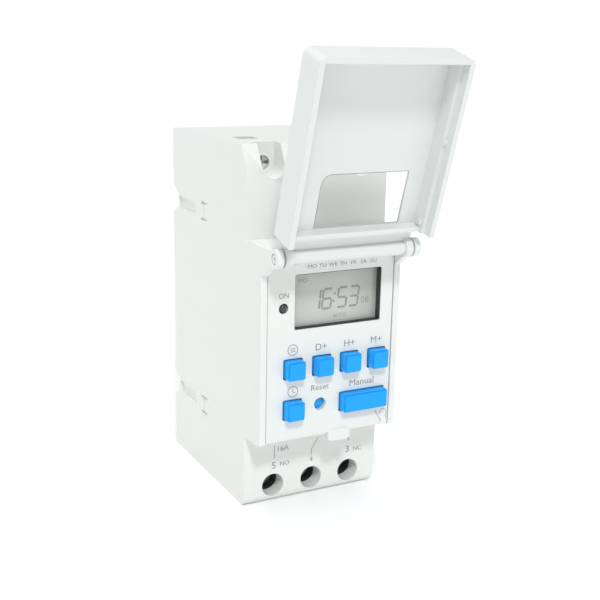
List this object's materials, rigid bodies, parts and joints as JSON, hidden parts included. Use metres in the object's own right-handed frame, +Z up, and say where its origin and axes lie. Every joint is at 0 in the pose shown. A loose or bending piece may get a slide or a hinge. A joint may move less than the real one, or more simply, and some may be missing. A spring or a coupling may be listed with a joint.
{
  "type": "din rail timer",
  "caption": "Two-module DIN rail weekly timer with a display, blue push buttons, screw terminals and a hinged windowed lid.",
  "frame": {"origin": "centre of the rail seat pad on the back, on the rail's centre line", "axes": "+Z up along the device's height, +X to the device's right as seen from the front, +Y into the rail; the front faces -Y"},
  "size_m": [0.036, 0.0828, 0.1075],
  "materials": {
    "housing_white": "fine satin moulded ABS",
    "lid_white": "glossy moulded plastic",
    "clear_window": "clear moulded plastic",
    "button_blue": "satin moulded plastic",
    "display_grey": "grey-green reflective display",
    "lamp_smoke": "tinted lamp lens, unlit",
    "board_green": "solder resist on glass epoxy",
    "black_plastic": "moulded black plastic",
    "cream_plastic": "moulded plastic and ceramic",
    "rubber": "conductive elastomer",
    "steel": "zinc-plated steel",
    "brass": "plain brass strip",
    "capacitor_yellow": "moulded box",
    "varistor_orange": "dipped coating"
  },
  "bodies": {
    "root": {"main_housing": "housing_white", "rear_cover": "housing_white", "front_panel": "housing_white", "program_switch": "black_plastic", "day_switch": "black_plastic", "hour_switch": "black_plastic", "minute_switch": "black_plastic", "clock_switch": "black_plastic", "manual_switch": "black_plastic", "reset_switch": "black_plastic", "controller_chip": "black_plastic", "relay": "black_plastic", "smoothing_capacitor": "black_plastic", "board_connector": "black_plastic", "display_glass": "display_grey", "display_holder": "cream_plastic", "fuse_resistor": "cream_plastic", "display_contact_strip": "rubber", "indicator_lamp": "lamp_smoke", "control_board": "board_green", "power_board": "board_green", "latch_spring": "steel", "clock_crystal": "steel", "panel_screw_1": "steel", "panel_screw_2": "steel", "board_screw_1": "steel", "board_screw_2": "steel", "backup_cell": "steel", "line_bar": "brass", "neutral_bar": "brass", "open_contact_bar": "brass", "common_bar": "brass", "closed_contact_bar": "brass", "dropper_capacitor": "capacitor_yellow", "varistor": "varistor_orange"},
    "lid": {"lid_frame": "lid_white", "lid_window": "clear_window"},
    "latch": {"din_latch": "housing_white"},
    "program_button": {"program_button": "button_blue"},
    "day_button": {"day_button": "button_blue"},
    "hour_button": {"hour_button": "button_blue"},
    "minute_button": {"minute_button": "button_blue"},
    "clock_button": {"clock_button": "button_blue"},
    "manual_button": {"manual_button": "button_blue"},
    "reset_button": {"reset_button": "button_blue"},
    "line_screw": {"line_screw": "steel"},
    "line_cage": {"line_cage": "steel"},
    "neutral_screw": {"neutral_screw": "steel"},
    "neutral_cage": {"neutral_cage": "steel"},
    "open_contact_screw": {"open_contact_screw": "steel"},
    "open_contact_cage": {"open_contact_cage": "steel"},
    "common_screw": {"common_screw": "steel"},
    "common_cage": {"common_cage": "steel"},
    "closed_contact_screw": {"closed_contact_screw": "steel"},
    "closed_contact_cage": {"closed_contact_cage": "steel"}
  },
  "joints": [
    {"name": "lid_hinge", "type": "hinge", "parent": "root", "child": "lid", "pos_m": [0, -0.0589, 0.0205], "axis": [-1, 0, 0], "range_deg": [-163.3, 5]},
    {"name": "latch_slide", "type": "slide", "parent": "root", "child": "latch", "axis": [0, 0, -1], "range_m": [0, 0.003], "stiffness_N_per_m": 800, "springref_m": -0.004, "deforming": ["latch_spring"]},
    {"name": "program_button_press", "type": "slide", "parent": "root", "child": "program_button", "axis": [0, 1, 0], "range_m": [0, 0.0005], "stiffness_N_per_m": 800, "springref_m": -0.0005},
    {"name": "day_button_press", "type": "slide", "parent": "root", "child": "day_button", "axis": [0, 1, 0], "range_m": [0, 0.0005], "stiffness_N_per_m": 800, "springref_m": -0.0005},
    {"name": "hour_button_press", "type": "slide", "parent": "root", "child": "hour_button", "axis": [0, 1, 0], "range_m": [0, 0.0005], "stiffness_N_per_m": 800, "springref_m": -0.0005},
    {"name": "minute_button_press", "type": "slide", "parent": "root", "child": "minute_button", "axis": [0, 1, 0], "range_m": [0, 0.0005], "stiffness_N_per_m": 800, "springref_m": -0.0005},
    {"name": "clock_button_press", "type": "slide", "parent": "root", "child": "clock_button", "axis": [0, 1, 0], "range_m": [0, 0.0005], "stiffness_N_per_m": 800, "springref_m": -0.0005},
    {"name": "manual_button_press", "type": "slide", "parent": "root", "child": "manual_button", "axis": [0, 1, 0], "range_m": [0, 0.0005], "stiffness_N_per_m": 800, "springref_m": -0.0005},
    {"name": "reset_button_press", "type": "slide", "parent": "root", "child": "reset_button", "axis": [0, 1, 0], "range_m": [0, 0.0005], "stiffness_N_per_m": 800, "springref_m": -0.0005},
    {"name": "line_screw_turn", "type": "hinge", "parent": "root", "child": "line_screw", "pos_m": [-0.0112, -0.0361, 0.0383], "axis": [0, 1, 0], "range_deg": [-10, 1100]},
    {"name": "line_cage_slide", "type": "slide", "parent": "root", "child": "line_cage", "axis": [0, -1, 0], "range_m": [0, 0.0021]},
    {"name": "neutral_screw_turn", "type": "hinge", "parent": "root", "child": "neutral_screw", "pos_m": [0.0112, -0.0361, 0.0383], "axis": [0, 1, 0], "range_deg": [-10, 1100]},
    {"name": "neutral_cage_slide", "type": "slide", "parent": "root", "child": "neutral_cage", "axis": [0, -1, 0], "range_m": [0, 0.0021]},
    {"name": "open_contact_screw_turn", "type": "hinge", "parent": "root", "child": "open_contact_screw", "pos_m": [-0.0104, -0.0361, -0.0386], "axis": [0, 1, 0], "range_deg": [-10, 1100]},
    {"name": "open_contact_cage_slide", "type": "slide", "parent": "root", "child": "open_contact_cage", "axis": [0, -1, 0], "range_m": [0, 0.0021]},
    {"name": "common_screw_turn", "type": "hinge", "parent": "root", "child": "common_screw", "pos_m": [0, -0.0361, -0.0386], "axis": [0, 1, 0], "range_deg": [-10, 1100]},
    {"name": "common_cage_slide", "type": "slide", "parent": "root", "child": "common_cage", "axis": [0, -1, 0], "range_m": [0, 0.0021]},
    {"name": "closed_contact_screw_turn", "type": "hinge", "parent": "root", "child": "closed_contact_screw", "pos_m": [0.0104, -0.0361, -0.0386], "axis": [0, 1, 0], "range_deg": [-10, 1100]},
    {"name": "closed_contact_cage_slide", "type": "slide", "parent": "root", "child": "closed_contact_cage", "axis": [0, -1, 0], "range_m": [0, 0.0021]}
  ],
  "couplings": [
    {"joint": "line_screw_turn", "follows": "line_cage_slide", "rad_per_m": 8976},
    {"joint": "neutral_screw_turn", "follows": "neutral_cage_slide", "rad_per_m": 8976},
    {"joint": "open_contact_screw_turn", "follows": "open_contact_cage_slide", "rad_per_m": 8976},
    {"joint": "common_screw_turn", "follows": "common_cage_slide", "rad_per_m": 8976},
    {"joint": "closed_contact_screw_turn", "follows": "closed_contact_cage_slide", "rad_per_m": 8976}
  ]
}
